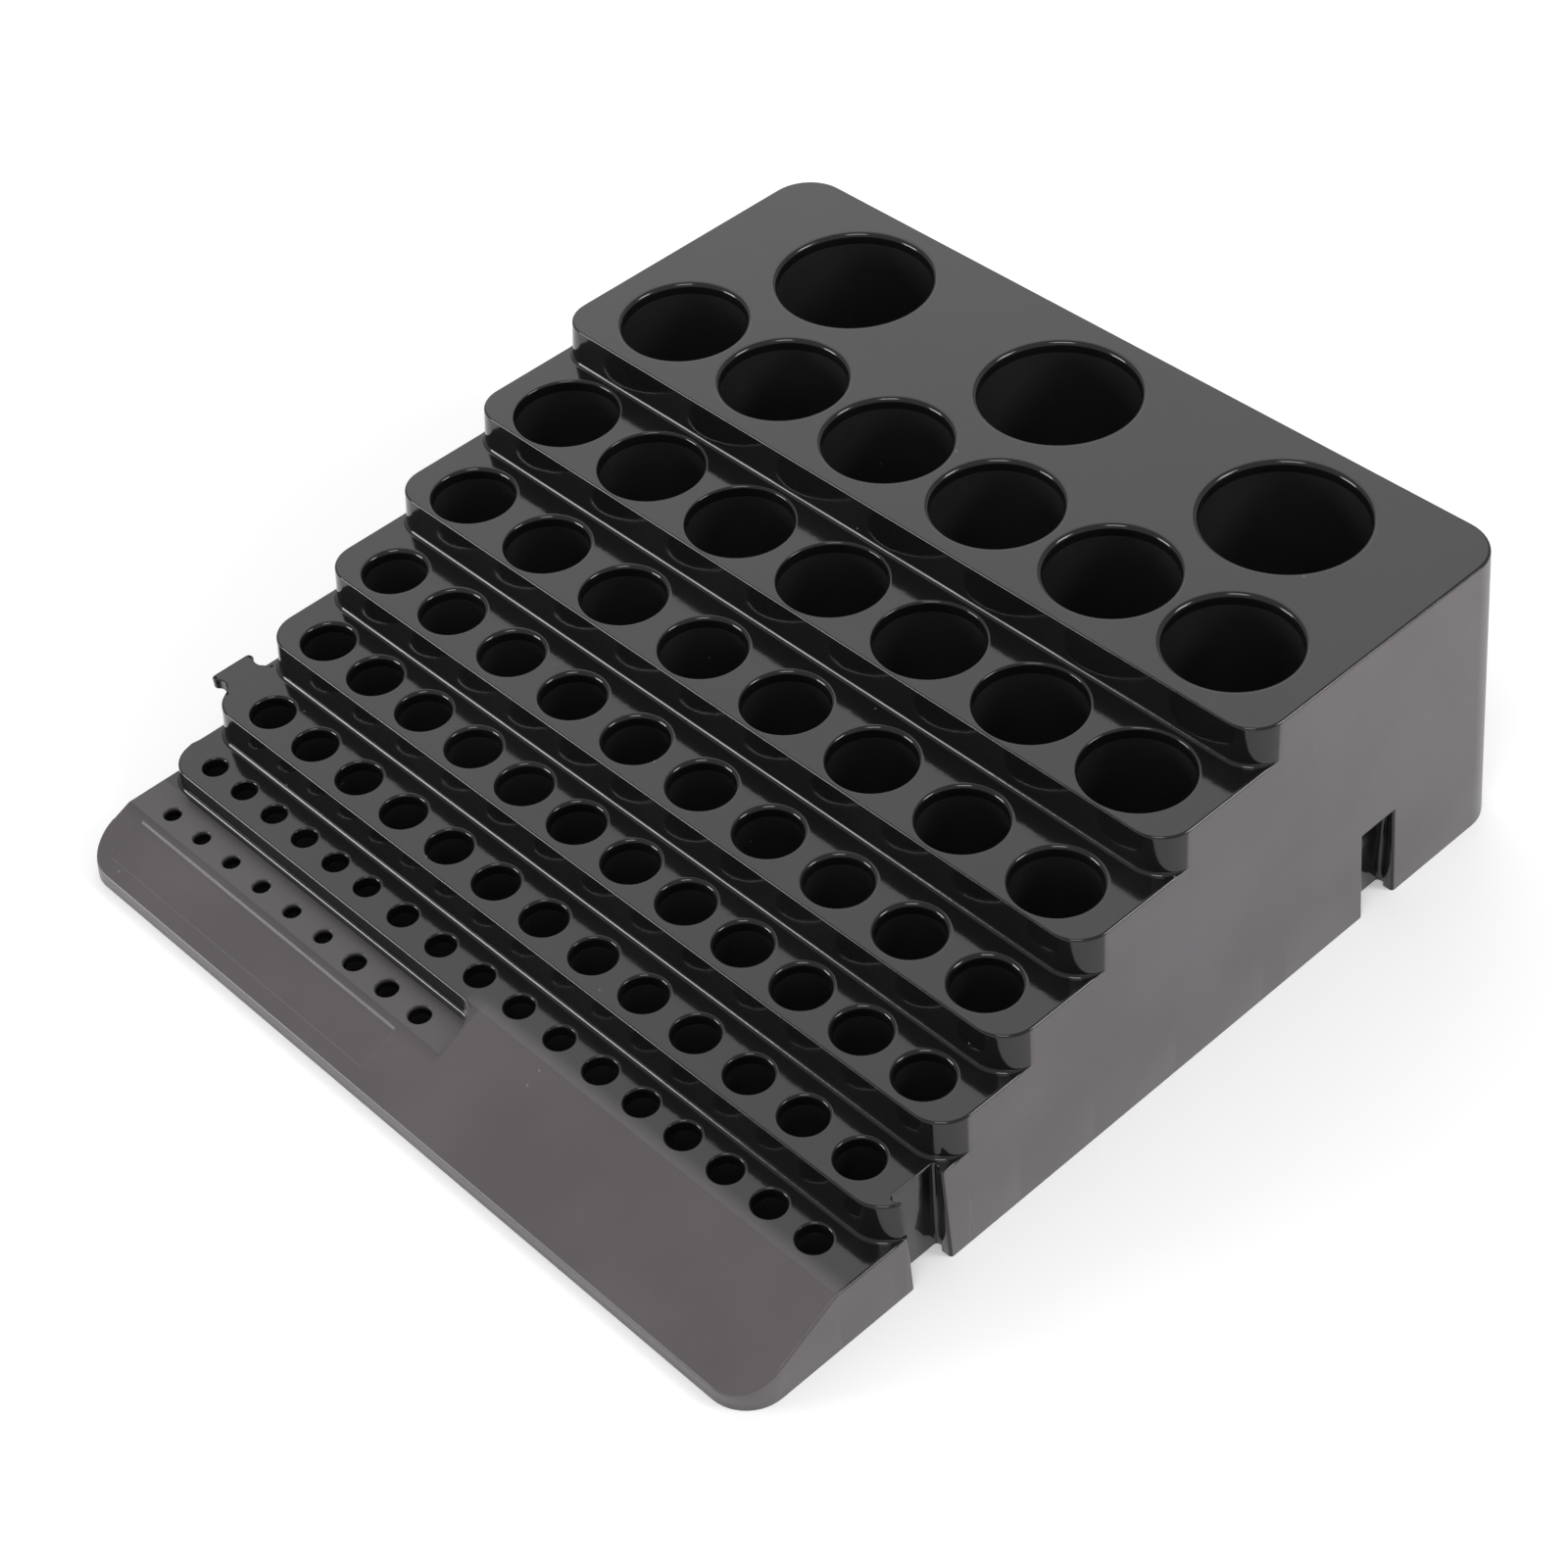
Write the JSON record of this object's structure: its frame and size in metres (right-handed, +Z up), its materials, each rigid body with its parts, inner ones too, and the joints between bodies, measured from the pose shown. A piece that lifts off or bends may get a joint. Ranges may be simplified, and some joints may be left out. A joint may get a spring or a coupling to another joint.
{
  "type": "drill bit storage box",
  "caption": "Stepped black plastic storage box with rows of round sockets that grow from a low front terrace to the rear deck, and side tabs and slots to link boxes.",
  "frame": {"origin": "on the table plane, under the middle of everything the box covers, link tabs included", "axes": "+X to the right (towards the side with the link pockets), +Y from the low front nose to the tall rear wall, +Z up"},
  "size_m": [0.1988, 0.2046, 0.0639],
  "materials": {
    "shell": "satin black moulded plastic, lightly glossy",
    "sockets": "black moulded plastic, deep and unlit inside"
  },
  "bodies": {
    "root": {"side_wall_left": "shell", "side_wall_right": "shell", "side_wall_right_nose": "shell", "rear_wall": "shell", "step_1": "shell", "step_2": "shell", "step_3": "shell", "step_4": "shell", "step_5": "shell", "step_6": "shell", "top_deck": "shell", "low_terrace": "shell", "front_ramp": "shell", "sockets_row_1": "sockets", "sockets_row_2": "sockets", "sockets_row_3": "sockets", "sockets_row_4": "sockets", "sockets_row_5": "sockets", "sockets_row_6": "sockets", "sockets_row_7": "sockets", "sockets_row_8": "sockets", "sockets_row_9": "sockets", "link_tab_front": "shell", "link_tab_rear": "shell", "link_pocket_front": "shell", "link_pocket_rear": "shell"}
  },
  "joints": []
}
